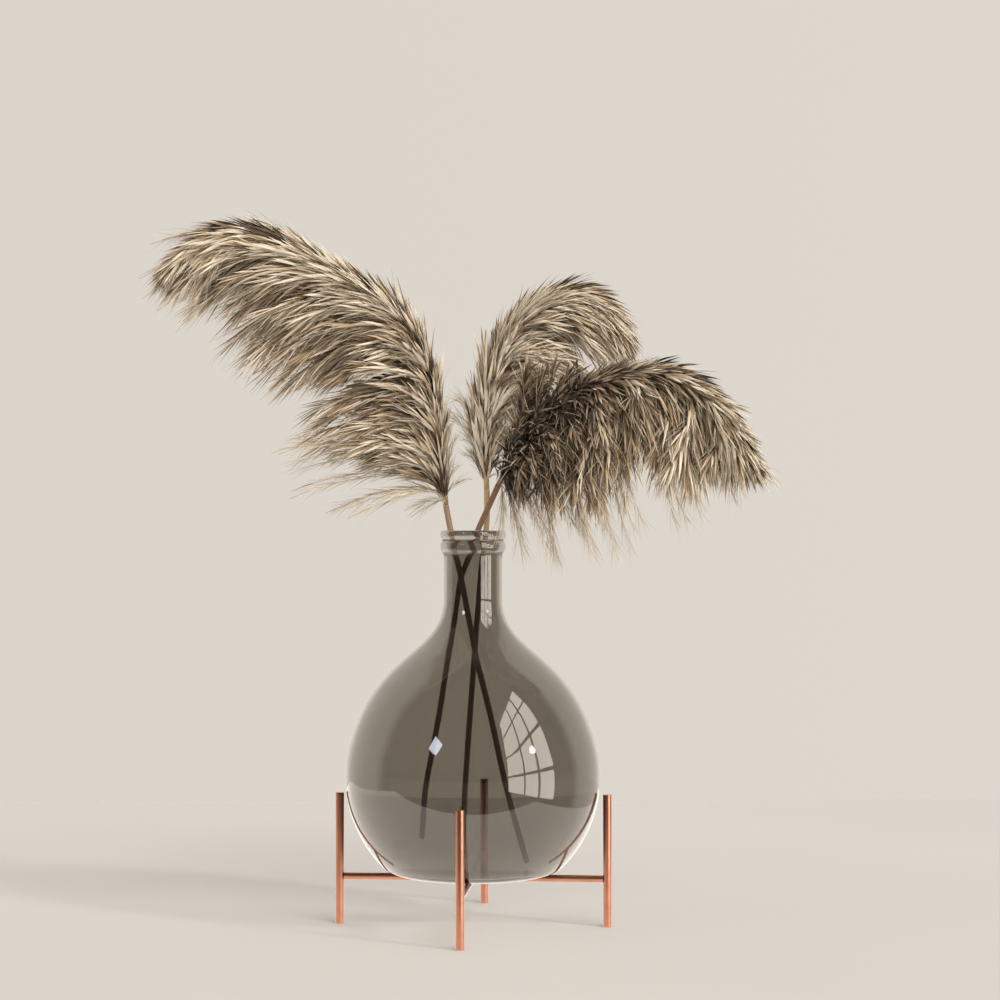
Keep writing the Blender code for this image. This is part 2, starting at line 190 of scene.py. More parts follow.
def dryGrass(name, colours):
    # Dried blades and hairs: matt straw, brown where they are rooted, paler to the tips; their tone attribute also
    # holds painted shade, near black deep in the plume
    material, tree, shader = newMaterial(name)
    tone = addNode(tree, "ShaderNodeVertexColor", {"layer_name": "tone"})
    split = addNode(tree, "ShaderNodeSeparateColor", {}, {"Color": (tone, "Color")})
    base = addNode(tree, "ShaderNodeValToRGB", {}, {"Fac": (split, "Red")})
    setStops(base, list(zip((0.0, 0.25, 0.5, 0.75, 1.0), colours)))
    # Veins 0.5 mm apart across a blade and 12 mm long along it, from the blades' UVs
    where = addNode(tree, "ShaderNodeTexCoord")
    stretch = addNode(tree, "ShaderNodeMapping", {"Scale": (7.0, 2.5, 1.0)}, {"Vector": (where, "UV")})
    veins = addNode(tree, "ShaderNodeTexNoise", {"Scale": 1.0, "Detail": 2.0}, {"Vector": (stretch, "Vector")})
    depth = addNode(
        tree, "ShaderNodeMapRange", {"From Min": 0.35, "From Max": 0.65, "To Min": 0.72, "To Max": 1.12},
        {"Value": (veins, "Fac")},
    )
    colour = addNode(tree, "ShaderNodeMix", {"data_type": "RGBA", "blend_type": "MULTIPLY", "Factor": 1.0})
    tree.links.new(base.outputs["Color"], colour.inputs[6])
    tree.links.new(depth.outputs["Result"], colour.inputs[7])
    tree.links.new(colour.outputs[2], shader.inputs["Base Color"])
    shader.inputs["Roughness"].default_value = 0.72
    shader.inputs["Sheen Weight"].default_value = 0.15
    shader.inputs["Sheen Roughness"].default_value = 0.5
    bump = addNode(tree, "ShaderNodeBump", {"Strength": 0.3, "Distance": 0.0003}, {"Height": (veins, "Fac")})
    tree.links.new(bump.outputs["Normal"], shader.inputs["Normal"])
    return material


def addPiece(name, mesh, material, slotName, *nodes):
    piece = bpy.data.objects.new(name, mesh)
    scene.collection.objects.link(piece)
    mesh.materials.append(material)
    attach(piece, "root")
    if nodes:
        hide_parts(*nodes)
    return piece


def bezier(p0, p1, p2, p3, count):
    t = np.linspace(0, 1, count)[:, None]
    p0, p1, p2, p3 = (np.array(p, float) for p in (p0, p1, p2, p3))
    return (1 - t) ** 3 * p0 + 3 * (1 - t) ** 2 * t * p1 + 3 * (1 - t) * t * t * p2 + t**3 * p3


def spline(points, count):
    # points evenly spaced along a smooth curve through the given ones
    p = [np.array(q, float) for q in points]
    p = [2 * p[0] - p[1]] + p + [2 * p[-1] - p[-2]]
    fine = []
    for a, b, c, d in zip(p, p[1:], p[2:], p[3:]):
        for t in np.arange(0, 1, 1 / 16):
            fine.append(
                0.5 * (2 * b + (c - a) * t + (2 * a - 5 * b + 4 * c - d) * t * t + (3 * b - a - 3 * c + d) * t**3)
            )
    fine = np.array(fine + [p[-2]])
    run = np.concatenate([[0], np.cumsum(np.linalg.norm(np.diff(fine, axis=0), axis=1))])
    return np.stack([np.interp(np.linspace(0, run[-1], count), run, fine[:, k]) for k in range(3)], axis=1)


def unit(vector):
    length = np.linalg.norm(vector, axis=-1, keepdims=True)
    return vector / np.maximum(length, 1e-9)


def frames(points):
    # direction, side and up along a line, carried smoothly from one point to the next
    directions = unit(np.gradient(points, axis=0))
    side = unit(np.cross(directions[0], (0.31, 0.93, 0.17)))
    sides = []
    for direction in directions:
        side = unit(side - direction * side.dot(direction))
        sides.append(side)
    sides = np.array(sides)
    return directions, sides, np.cross(directions, sides)


def meshOf(name, points, faces, uvs=None, tones=None):
    # points in mm; uvs and tones are one row per point
    mesh = bpy.data.meshes.new(name)
    mesh.from_pydata((np.asarray(points) * mm).tolist(), [], [list(f) for f in faces])
    corners = np.zeros(len(mesh.loops), dtype=np.int32)
    mesh.loops.foreach_get("vertex_index", corners)
    if uvs is not None:
        layer = mesh.uv_layers.new(name="uv")
        layer.data.foreach_set("uv", np.asarray(uvs, float)[corners].ravel())
    if tones is not None:
        layer = mesh.color_attributes.new("tone", "FLOAT_COLOR", "POINT")
        rows = np.ones((len(points), 4))
        rows[:, 0] = tones
        layer.data.foreach_set("color", rows.ravel())
    mesh.polygons.foreach_set("use_smooth", [True] * len(mesh.polygons))
    return mesh


def rod(points, radii, sides):
    # a round rod along a line, closed at both ends: (points, faces, uvs) with u round it and v along it
    _, side, up = frames(points)
    turns = np.linspace(0, 2 * math.pi, sides, endpoint=False)
    circle = side[:, None] * np.cos(turns)[:, None] + up[:, None] * np.sin(turns)[:, None]
    rings = points[:, None] + radii[:, None, None] * circle
    run = np.concatenate([[0], np.cumsum(np.linalg.norm(np.diff(points, axis=0), axis=1))]) / 100
    uvs = np.stack(np.broadcast_arrays(np.abs(turns / math.pi - 1)[None], run[:, None]), axis=-1)
    faces = []
    for i in range(len(points) - 1):
        for k in range(sides):
            j = (k + 1) % sides
            faces.append((i * sides + k, i * sides + j, (i + 1) * sides + j, (i + 1) * sides + k))
    faces.append(tuple(range(sides))[::-1])
    faces.append(tuple((len(points) - 1) * sides + k for k in range(sides)))
    return rings.reshape(-1, 3), faces, uvs.reshape(-1, 2)


print("vase")
vase = {  # lengths in mm, angles in degrees
    "wall": 3.0,
    "floor": 4.0,
    "bodyRadius": 127.0,
    "bodyCentre": 149.0,
    "baseHeight": 51.3,
    "baseFlat": 56.0,  # radius of the flat that rests on the bars
    "cornerAngle": -45.0,  # where the round body turns into its base
    "cornerSpread": 18.0,
    "neckRadius": 29.4,
    "neckFoot": 326.0,
    "shoulderAngle": 16.0,
    "shoulderReach": (56.0, 96.0),  # how far the curve follows the neck and the body
    "rimRadius": 33.0,
    "rimHeight": 393.5,
    "sides": 128,
}


def bodyProfile(inset):
    start = math.radians(vase["shoulderAngle"])
    radius = vase["bodyRadius"] - inset
    neck = vase["neckRadius"] - inset
    centre = vase["bodyCentre"]
    turn = (radius * math.cos(start), centre + radius * math.sin(start))
    byNeck, byBody = vase["shoulderReach"]
    shoulder = bezier(
        (neck, vase["neckFoot"]),
        (neck, vase["neckFoot"] - byNeck),
        (turn[0] - byBody * math.sin(start), turn[1] + byBody * math.cos(start)),
        turn,
        36,
    )
    angles = np.radians(np.linspace(vase["shoulderAngle"], vase["cornerAngle"], 36)[1:])
    ball = np.stack([radius * np.cos(angles), centre + radius * np.sin(angles)], axis=1)
    base = vase["baseHeight"] + (vase["floor"] if inset else 0)
    reach = (ball[-1][1] - base) * 0.68
    flat = vase["baseFlat"]
    corner = bezier(ball[-1], ball[-1] - reach, (flat + vase["cornerSpread"], base), (flat, base), 14)
    return np.concatenate([shoulder, ball, corner[1:]])


def vaseProfile():
    # up the inside from the middle of the floor, over the double-beaded rim and down the outside
    r, z, neck, bore = vase["rimRadius"], vase["rimHeight"], vase["neckRadius"], vase["neckRadius"] - vase["wall"]
    rim = [
        (bore, z - 14), (bore, z - 4), (bore + 0.3, z - 1.6), (bore + 1.1, z - 0.4), (bore + 2.4, z),
        (r - 2.6, z), (r - 1.0, z - 0.7), (r - 0.2, z - 2.2), (r, z - 4.0), (r - 0.3, z - 5.9), (r - 1.2, z - 7.6),
        (r - 2.0, z - 9.0), (r - 1.9, z - 10.3), (r - 0.9, z - 11.8), (r - 0.2, z - 13.8), (r, z - 16.0),
        (r - 0.3, z - 18.2), (r - 1.2, z - 20.3), (neck + 1.0, z - 22.3), (neck + 0.25, z - 24.6), (neck, z - 28),
    ]
    rim = spline([(a, b, 0) for a, b in rim], 90)[:, :2]
    inside, outside = bodyProfile(vase["wall"])[::-1], bodyProfile(0)
    return np.concatenate([[(0.0, inside[0][1])], inside, rim, outside, [(0.0, outside[-1][1])]])


def makeVase():
    mesh = bpy.data.meshes.new("vase_glass")
    profile = vaseProfile()
    mesh.from_pydata([(r * mm, 0.0, z * mm) for r, z in profile], [(i, i + 1) for i in range(len(profile) - 1)], [])
    turned = bpy.data.objects.new("vase_turned", mesh)
    scene.collection.objects.link(turned)
    screw = turned.modifiers.new("revolve", "SCREW")
    screw.steps = screw.render_steps = vase["sides"]
    screw.use_merge_vertices = True
    screw.merge_threshold = 0.00002
    graph = bpy.context.evaluated_depsgraph_get()
    solid = bpy.data.meshes.new_from_object(turned.evaluated_get(graph))
    solid.polygons.foreach_set("use_smooth", [True] * len(solid.polygons))
    bpy.data.objects.remove(turned, do_unlink=True)
    piece = addPiece("vase_glass", solid, smokedGlass(), "smoked_glass", "vase")
    piece.visible_diffuse = False  # the studio's pale light passes through it to the floor


makeVase()

print("stand")
stand = {  # mm
    "legDiameter": 8.5,
    "legHeight": 131.0,
    "legCircle": 134.0,
    "turn": -5.2,  # degrees
    "barDiameter": 7.0,
    "barHeight": 47.5,
    "barGap": 0.05,  # between a bar's end and its leg
    "lapReach": 3.6,  # the halved middle of a bar, to each side
    "lapGap": 0.15,
    "edge": 0.5,
    "sides": 48,
}
copper = satinCopper()


def legPlace(quarter):
    angle = math.radians(stand["turn"] + 90 * quarter)
    return np.array([stand["legCircle"] * math.cos(angle), stand["legCircle"] * math.sin(angle)])


def makeLeg(name, quarter, node):
    x, y = legPlace(quarter)
    radius, top, edge = stand["legDiameter"] / 2, stand["legHeight"], stand["edge"]
    foot, between = [0, edge * 0.3, edge], np.linspace(edge + 0.4, top - edge - 0.4, 12)
    heights = [*foot, *between, top - edge, top - edge * 0.3, top]
    eased = [radius - edge, radius - edge * 0.3, radius]
    radii = eased + [radius] * len(between) + eased[::-1]
    points = np.array([(x, y, z) for z in heights], float)
    mesh = meshOf(name, *rod(points, np.array(radii, float), stand["sides"]))
    mesh.set_sharp_from_angle(angle=math.radians(40))
    addPiece(name, mesh, copper, "copper", node)


def makeBar(name, quarter, node, lift):
    # a round bar whose ends meet the legs and whose middle is halved into the other bar
    direction = legPlace(quarter) / stand["legCircle"]
    reach = stand["legCircle"] - stand["legDiameter"] / 2 - stand["barGap"]
    lap, sides = stand["lapReach"], stand["sides"]
    outer = np.linspace(lap + 0.2, reach, 10)
    runs = np.concatenate([np.linspace(-reach, -lap - 0.2, 10), [-lap, lap], outer])
    points = np.array([(direction[0] * s, direction[1] * s, stand["barHeight"]) for s in runs])
    radii = np.full(len(points), stand["barDiameter"] / 2)
    coordinates, faces, uvs = rod(points, radii, sides)
    # the halved middle keeps only its upper or lower half
    cut = stand["barHeight"] + stand["lapGap"] * lift
    for i in range(10, 12):
        ring = coordinates[i * sides : (i + 1) * sides]
        ring[ring[:, 2] * lift < cut * lift, 2] = cut
    mesh = meshOf(name, coordinates, faces, uvs)
    mesh.set_sharp_from_angle(angle=math.radians(40))
    addPiece(name, mesh, copper, "copper", node)


for quarter, side in enumerate(("right", "back", "left", "front")):
    makeLeg("stand_leg_" + side, quarter, "leg_" + side)
makeBar("stand_bar_left_right", 0, "bar_left_right", -1)
makeBar("stand_bar_front_back", 1, "bar_front_back", 1)

print("stems")
stems = {
    "radius": 3.0,  # mm
    "skin": 0.12,  # mm that the stalk stays within that, for its wander
    "gap": 0.4,  # mm between a stalk and its plume
    "wander": 0.1,  # mm
    "scarHeight": 0.3,  # mm that a leaf scar stands out
    "scarAt": ((0.3, 0.4), (0.72, 0.8)),  # shares of the length between which each scar falls
    "left": [
        (54.5, 15, 59.6), (34.5, 11, 131.5), (18, 7, 206), (5, 4, 258), (-1.5, 2, 291),
        (-12, -1, 347), (-17, -2, 369), (-22.3, -3, 393.5), (-27, -4, 418),
    ],
    "middle": [
        (-11, 45, 60.0), (-8, 36, 132), (-3, 27, 206), (1, 20, 258), (3.3, 15.5, 294), (6, 12, 324),
        (9, 7, 363), (13.2, 3, 394), (14, 0, 414), (13.8, -1.5, 434),
    ],
    "right": [
        (-53.2, 77, 75.5), (-49.5, 67.5, 124), (-43.5, 58, 159), (-34.5, 45.5, 206), (-28, 34.5, 247),
        (-21, 22.5, 291), (-15.5, 12.8, 328), (-12, 8, 347), (-4, 1.5, 368), (5, -5, 394), (15.5, -11, 417),
        (25, -17, 438),
    ],
    "topColours": {
        "left": ("#B39574", "#8A6A4D"), "middle": ("#D9C39B", "#B89B72"), "right": ("#A58062", "#735340"),
    },
    # painted shade: dark brown for the stalks inside the smoked glass, up to just under the rim
    "shadedFootColours": ("#4A3626", "#2C1E14"),
    "shadeUpTo": 386,  # mm: height of the change, just under the rim
}


def stemLine(which, count):
    return spline(stems[which], count)


def makeStem(which, seed):
    # a stalk with a faint wander in its thickness and two leaf scars
    rng = random.Random(seed)
    line = stemLine(which, 140)
    share = np.linspace(0, 1, len(line))
    radii = np.full(len(line), stems["radius"] - stems["skin"])
    radii += stems["wander"] * np.sin(share * 21 + rng.uniform(0, 6)) * np.sin(share * 8.3)
    for scar in [rng.uniform(*span) for span in stems["scarAt"]]:
        radii += stems["scarHeight"] * np.exp(-(((share - scar) / 0.005) ** 2))
    radii[0] -= 0.3  # the cut foot's worn edge
    points, faces, uvs = rod(line, radii, 20)
    mesh = meshOf("stem_" + which + "_stalk", points, faces, uvs)
    mesh.set_sharp_from_angle(angle=math.radians(50))
    run = np.concatenate([[0], np.cumsum(np.linalg.norm(np.diff(line, axis=0), axis=1))]) / 100
    change = float(np.interp(stems["shadeUpTo"], line[:, 2], run))
    cane = dryCane("dry_cane_" + which, stems["topColours"][which], stems["shadedFootColours"], change)
    addPiece("stem_" + which + "_stalk", mesh, cane, "stem", "stem_" + which)


for which, seed in (("left", 21), ("middle", 22), ("right", 23)):
    makeStem(which, seed)

print("plumes")
# A lock that leaves the rachis a share s of the way along ends between the tip rails: "inner" on the
# hanging side, "outer" on the back of the bend. "depth" is how far its tip stands off in Y.
# In each plume the shade rail is painted light and shade along the rachis, a factor on its blades' tone
plumes = {
    "left": {
        "seed": 3, "locks": 48, "crowd": 0.95, "side": 0,
        "rachis": [
            (-31, -6, 455), (-34, -10, 493), (-37.5, -15, 525), (-43, -20, 553), (-55, -27, 583), (-74, -34, 607),
            (-101, -44, 627), (-134, -55, 645), (-169, -64, 665), (-201, -73, 680), (-233, -79, 682),
            (-262, -84, 669), (-289, -88, 647),
        ],
        "inner": [
            (0, -56, 450), (0.03, -106, 460), (0.07, -156, 462), (0.11, -182, 462), (0.15, -192, 470),
            (0.19, -194, 486), (0.24, -176, 510), (0.3, -172, 532), (0.35, -186, 540), (0.4, -200, 522),
            (0.48, -234, 522), (0.56, -260, 541), (0.64, -268, 568), (0.72, -282, 590), (0.8, -291, 604),
            (0.9, -299, 614), (1, -304, 625),
        ],
        "outer": [
            (0, -23, 469), (0.1, -26, 518), (0.2, -30, 566), (0.3, -33, 602), (0.4, -54, 634), (0.5, -84, 654),
            (0.6, -130, 676), (0.7, -182, 699), (0.8, -234, 700), (0.9, -280, 671), (1, -304, 628),
        ],
        "depth": [(0, 44), (0.25, 56), (0.7, 46), (1, 16)],
        "radius": [(0, 9), (0.3, 14), (0.7, 12.5), (1, 6)],
        "ahead": [(0, 0.02), (0.2, 0.03), (0.3, 0.12), (0.7, 0.2), (1, 0.1)],
        "shade": [(0, 1.34), (0.25, 1.3), (0.5, 1.26), (0.72, 1.04), (1, 0.92)],
        "ruffle": [(0, 0), (1, 0)],
        "bladeSize": [(0, 1), (1, 1)],
        "fill": 5,
        "backRoom": 13.0,
        "tufts": None,
        "hanging": [],
        "spray": 2,
        "wisps": [
            (0.0, -200, -40, 466), (0.0, -178, -10, 422), (0.0, -146, 20, 412), (0.0, -113, -30, 404),
            (0.0, -70, 12, 404), (0.0, -34, -22, 412), (0.0, -18, -10, 486), (0.01, -22, 4, 470),
            (0.02, -190, 30, 452), (0.01, -12, -4, 446), (0.72, -300, -76, 664), (0.66, -284, -66, 672),
            (0.86, -312, -88, 638), (0.9, -308, -80, 612), (0.8, -294, -98, 592), (0.56, -236, -56, 682),
        ],
    },
    "middle": {
        "seed": 5, "locks": 28, "crowd": 0.95, "side": 1,
        "rachis": [
            (12, 0, 474), (13, 12, 514), (17, 20, 551), (28, 29, 586), (47, 38, 613),
            (74, 47, 633), (102, 55, 641), (128, 62, 632), (148, 67, 609), (159, 70, 582),
        ],
        "inner": [
            (0, 42, 468), (0.15, 54, 500), (0.3, 68, 522), (0.45, 96, 532), (0.6, 126, 542), (0.75, 148, 556),
            (0.9, 160, 562), (1, 162, 566),
        ],
        "outer": [
            (0, -15, 515), (0.1, -13, 552), (0.22, -5, 592), (0.35, 15, 614), (0.5, 46, 640), (0.65, 80, 655),
            (0.8, 113, 648), (0.9, 139, 624), (1, 161, 584),
        ],
        "depth": [(0, 32), (0.3, 44), (0.7, 40), (1, 16)],
        "radius": [(0, 9), (0.3, 13.5), (0.7, 12), (1, 6)],
        "ahead": [(0, 0.06), (0.3, 0.2), (0.7, 0.25), (1, 0.1)],
        "shade": [(0, 1.0), (0.3, 1.15), (1, 1.1)],
        "ruffle": [(0, 0), (1, 0)],
        "bladeSize": [(0, 1), (1, 0.95)],
        "fill": 6,
        "backRoom": 8.0,
        "tufts": None,
        "hanging": [
            (0.22, 20, 4, 484), (0.3, 29, 2, 474), (0.36, 40, 2, 482), (0.28, 24, 0, 498), (0.4, 52, 4, 496),
            (0.33, 34, 6, 504),
        ],
        "spray": 2,
        "wisps": [
            (0.06, -30, 8, 500), (0.03, -14, 16, 474), (0.1, -24, 26, 522), (0.02, 34, 4, 450), (0.0, -2, 20, 462),
        ],
    },
    "right": {
        "seed": 8, "locks": 36, "crowd": 0.95, "side": -1,
        "rachis": [
            (38, -24, 462), (55, -30, 488), (75, -34, 511), (99, -36, 529), (130, -35, 544),
            (166, -30, 551), (201, -22, 548), (230, -13, 532), (251, -4, 508), (268, 4, 481), (284, 12, 458),
        ],
        "inner": [
            (0, 46, 420), (0.08, 54, 398), (0.15, 70, 384), (0.25, 102, 380), (0.35, 126, 384), (0.42, 150, 400),
            (0.5, 170, 418), (0.58, 188, 404), (0.66, 214, 402), (0.75, 238, 416), (0.85, 260, 428),
            (0.93, 278, 436), (1, 294, 444),
        ],
        "outer": [
            (0, 24, 486), (0.1, 46, 532), (0.2, 74, 552), (0.3, 118, 560), (0.45, 178, 565), (0.6, 228, 556),
            (0.75, 266, 514), (0.9, 290, 475), (1, 298, 450),
        ],
        "depth": [(0, 32), (0.3, 50), (0.7, 44), (1, 16)],
        "radius": [(0, 9), (0.3, 14), (0.7, 12.5), (1, 6)],
        "ahead": [(0, 0.0), (0.4, 0.03), (0.7, 0.08), (1, 0.05)],
        # painted shade: the low values near the foot darken the plume's inner mass, which lies in shade
        "shade": [(0, 0.48), (0.33, 0.46), (0.46, 0.82), (0.7, 1.06), (1, 1.56)],
        "ruffle": [(0, 42), (0.33, 46), (0.45, 10), (1, 0)],
        "bladeSize": [(0, 0.62), (0.33, 0.66), (0.45, 1), (1, 1)],
        "fill": 5,
        "backRoom": 7.0,
        # ends of short locks that stand out towards the front: how many, and where in X, Y and Z
        "tufts": (90, (40, 132), (-74, -26), (412, 556)),
        "hanging": [
            (0.42, 87, -72, 417), (0.4, 96, -76, 430), (0.5, 153, -74, 508), (0.66, 184, -68, 437),
            (0.7, 192, -70, 474), (0.6, 168, -72, 452), (0.46, 120, -70, 446), (0.8, 226, -56, 452),
        ],
        "spray": 2,
        "wisps": [
            (0.0, 52, -14, 360), (0.0, 34, -24, 384), (0.06, 78, -36, 362), (0.14, 96, -10, 356),
            (0.2, 126, -36, 358), (0.26, 140, -16, 372), (0.34, 164, -44, 384), (0.46, 204, -30, 398),
            (0.55, 226, -42, 402), (0.72, 262, -14, 420), (0.88, 299, 6, 432), (0.02, 62, -40, 386),
            (0.1, 112, -28, 372), (0.3, 152, -30, 366),
        ],
    },
}
plumeMake = {
    # the blades' tone ramp: near black for painted shade deep in the plume up to pale straw
    "colours": ("#150E08", "#493824", "#947B5F", "#CFBA9B", "#E9DECB"),
    "divideAt": -14.0,  # the middle plume stays behind this upright plane and the right one before it
    "divideSlope": 0.22,
    "fall": 0.75,  # how far a lock's end turns down on the hanging side
    "mainReach": (0.88, 1.0),  # shares of the way to the tip rails
    "fillReach": (0.55, 0.97),
    "fillFullness": (0.6, 0.9),
    "tuftFullness": 0.7,
    "hangingFullness": 0.8,
    "mainPale": 1.12,
    "inwardPaintedShade": 1.8,  # how fast the locks that end short of the rails get darker
    "tuftPale": 1.0,
    "hangingPale": 1.3,
    "wispScatter": 12,  # mm
    "hairShade": 1.2,
    "wispShade": 1.9,
    "branchTones": (0.3, 0.85),  # the fine branch inside a lock and inside a wisp
    # tones of a blade: the first number, and the second more for one that faces away from the rachis,
    # that stands outermost in its lock, or at its tip; facing and depth are painted shade, darker inside the plume
    "facingPaintedShade": (0.92, 0.56),
    "depthPaintedShade": (0.36, 0.8),
    "tipTone": (0.6, 0.52),
    "unevenTone": 0.16,
}
goldenAngle = 2.39996
axisSteps = 60  # along a rachis
lockPoints = 41  # along a lock


def rail(rows, s):
    keys = [row[0] for row in rows]
    return np.array([np.interp(s, keys, [row[k] for row in rows]) for k in range(1, len(rows[0]))])


def lockPath(plume, axis, s, angle, stretch):
    # centre line of one lock, which leaves the rachis along it and bends over to a tip further on
    place = s * (len(axis) - 1)
    i = min(int(place), len(axis) - 2)
    start = axis[i] + (axis[i + 1] - axis[i]) * (place - i)
    along = unit(axis[min(i + 3, len(axis) - 1)] - axis[max(i - 2, 0)])
    share = (1 + math.cos(angle)) / 2
    ahead = min(s + rail(plume["ahead"], s)[0], 1.0)
    x, z = rail(plume["outer"], ahead) * (1 - share) + rail(plume["inner"], ahead) * share
    tip = np.array([x, start[1] + rail(plume["depth"], s)[0] * math.sin(angle), z])
    there = axis[int(ahead * (len(axis) - 1))]
    tip += unit(there - tip) * plume["backRoom"] * (1 - share)  # room for the blades on the back of the bend
    tip = start + (tip - start) * stretch
    length = np.linalg.norm(tip - start)
    fall = unit(unit(tip - start) + np.array([0, 0, -plumeMake["fall"] * share]))
    return bezier(start, start + along * length * (0.2 + 0.22 * share), tip - fall * length * 0.36, tip, lockPoints)


def plumeAxis(which):
    line = stemLine(which, 12)
    foot = line[-1] + unit(line[-1] - line[-2]) * stems["gap"]
    return spline([foot] + plumes[which]["rachis"], axisSteps + 1)


def plumeLocks(which, axis):
    # (centre line, share along the rachis, angle round it, how full, how pale): main, then finer, then wisps
    plume, make = plumes[which], plumeMake
    rng = random.Random(plume["seed"])
    locks = []
    for i in range(plume["locks"]):
        s = ((i + 0.5) / plume["locks"]) ** plume["crowd"]
        angle = i * goldenAngle + rng.uniform(-0.25, 0.25)
        path = lockPath(plume, axis, s, angle, rng.uniform(*make["mainReach"]))
        locks.append((path, s, angle, 1.0, make["mainPale"]))
    fill = plume["locks"] * plume["fill"]
    for i in range(fill):
        s = min(((i + rng.random()) / fill) ** 0.97, 1.0)
        side = rng.uniform(-1, 1)
        angle = math.pi * math.copysign(abs(side) ** 1.25, side)  # more of them on the full side
        reach = rng.uniform(*make["fillReach"])
        path = lockPath(plume, axis, s, angle, reach)
        # painted shade: fill locks that end short of the rails sit inside the plume and get darker
        inward = (1 + math.cos(angle)) / 2 * (make["fillReach"][1] - reach)
        pale = make["mainPale"] - make["inwardPaintedShade"] * inward
        locks.append((path, s, angle, rng.uniform(*make["fillFullness"]), pale))
    if plume["tufts"]:
        count, *box = plume["tufts"]
        for i in range(count):
            tip = np.array([rng.uniform(*side) for side in box])
            near = int(np.clip(np.argmin(np.abs(axis[:, 0] - tip[0] + 12)), 2, 30))
            start = axis[near]
            out = start + (tip - start) * 0.4 + np.array([0, -10.0, 6.0])
            path = bezier(start, out, tip + np.array([0, 2.0, 5.0]), tip, lockPoints)
            locks.append((path, near / axisSteps, 0.0, make["tuftFullness"], make["tuftPale"]))
    # a few full locks that hang down inside the bend, then the wisps, in small sprays
    wisps = [(0.0, *row) for row in plume["wisps"] for _ in range(plume["spray"])]
    for full, s, x, y, z in [(make["hangingFullness"], *row) for row in plume["hanging"]] + wisps:
        start = rail([(k, *p) for k, p in zip(np.linspace(0, 1, len(axis)), axis)], s)
        tip = np.array([x, y, z], float)
        if not full:
            far = make["wispScatter"]
            tip += [rng.uniform(-far, far), rng.uniform(-far, far), rng.uniform(-far / 4, far)]
        length = np.linalg.norm(tip - start)
        rise = unit(axis[min(int(s * axisSteps) + 3, axisSteps)] - axis[int(s * axisSteps)])
        level = (tip - start) * np.array([1, 1, 0])
        fromAbove = tip - level * 0.35 + np.array([0, 0, 0.16]) * length
        path = bezier(start, start + rise * length * 0.3, fromAbove, tip, lockPoints)
        locks.append((path, s, 0.0, full, make["hangingPale"]))
    return locks


def keepSide(points, margin, side):
    if side:
        divide = plumeMake["divideAt"] + plumeMake["divideSlope"] * points[:, 0]
        points[:, 1] = divide + side * np.maximum(side * (points[:, 1] - divide), margin)
    return points


def smoothStep(low, high, values):
    t = np.clip((values - low) / (high - low), 0, 1)
    return t * t * (3 - 2 * t)


def bladesAlong(path, rng, kind, size, radius, droop, ruffle, shade, rootShade, outward):
    # blades set round one lock and leaning along it, 8 points each: (points, uvs, tones)
    directions, sides, ups = frames(path)
    run = np.linalg.norm(np.diff(path, axis=0), axis=1).sum()
    count = max(int(run / kind["step"]), 3)
    length = rng.uniform(*kind["length"], count) * size
    length = np.minimum(length, 0.5 * run)
    u = np.sort(rng.uniform(kind["from"], 1.0, count)) * (1 - 0.7 * length.mean() / run)
    length = np.minimum(length, (1.03 - u) * run)[:, None]
    k = np.minimum((u * (len(path) - 1)).astype(int), len(path) - 2)
    f = (u * (len(path) - 1) - k)[:, None]
    centre = path[k] * (1 - f) + path[k + 1] * f
    along, side, up = directions[k], sides[k], ups[k]
    turn = np.arange(count) * goldenAngle + rng.uniform(-0.6, 0.6, count)
    radial = side * np.cos(turn)[:, None] + up * np.sin(turn)[:, None]
    thin = smoothStep(0.55, 0.95, u)[:, None]
    width = rng.uniform(*kind["width"], count)[:, None] * (1 - 0.62 * thin)
    lean = np.radians(rng.uniform(*kind["tilt"], count) + ruffle * rng.uniform(-0.3, 1.2, count))[:, None]
    heading = unit(along * np.cos(lean) + radial * np.sin(lean))
    across = unit(np.cross(heading, radial))
    twist = rng.uniform(-0.7, 0.7, count)[:, None]
    across = unit(across * np.cos(twist) + np.cross(across, heading) * np.sin(twist))
    face = np.cross(across, heading)
    out = rng.uniform(0.0, 1.0, count)[:, None]
    root = centre + radial * (radius * out * (1 - 0.75 * u)[:, None])
    bend = along * rng.uniform(0.05, 0.3, count)[:, None] + np.array([0, 0, -1.0]) * droop
    rows, shares = [], (0.0, 0.3, 0.3, 0.3, 0.66, 0.66, 0.66, 1.0)
    for t, w in ((0.0, 0.0), (0.3, 1.0), (0.66, 0.74), (1.0, 0.0)):
        middle = root + heading * length * t + bend * length * t * t
        for a in (-1, 0, 1) if w else (0,):
            rows.append(middle + across * width * w * a / 2 - face * width * w * 0.2 * abs(a))
    points = np.stack(rows, axis=1)
    uv = np.array([(0.5, 0), (0, 0.3), (0.5, 0.3), (1, 0.3), (0, 0.66), (0.5, 0.66), (1, 0.66), (0.5, 1)])
    uvs = uv[None] + rng.uniform(0, 50, (count, 1, 2))
    # painted shade: darker the deeper a blade sits in its lock, on the side towards the rachis, and near the lock's
    # root by the rachis; each blade is also darker at its base and paler to its tip
    low, more = plumeMake["facingPaintedShade"]
    shadeByFacing = low + more * (radial @ outward)[:, None]
    low, more = plumeMake["depthPaintedShade"]
    shadeByDepth = low + more * out
    low, more = plumeMake["tipTone"]
    byTip = low + more * np.array(shares)[None]
    shadeByRoot = rootShade + (1.08 - rootShade) * smoothStep(0.0, 0.35, u)[:, None]
    own = shade * shadeByRoot * shadeByDepth * shadeByFacing
    own = own * (1 - thin) + kind["pale"] * thin
    uneven = rng.normal(0, plumeMake["unevenTone"], count)[:, None] * np.minimum(shade, 1.2)
    tones = own * byTip + uneven
    return points.reshape(-1, 3), uvs.reshape(-1, 2), np.clip(tones, 0.0, 1.0).ravel()


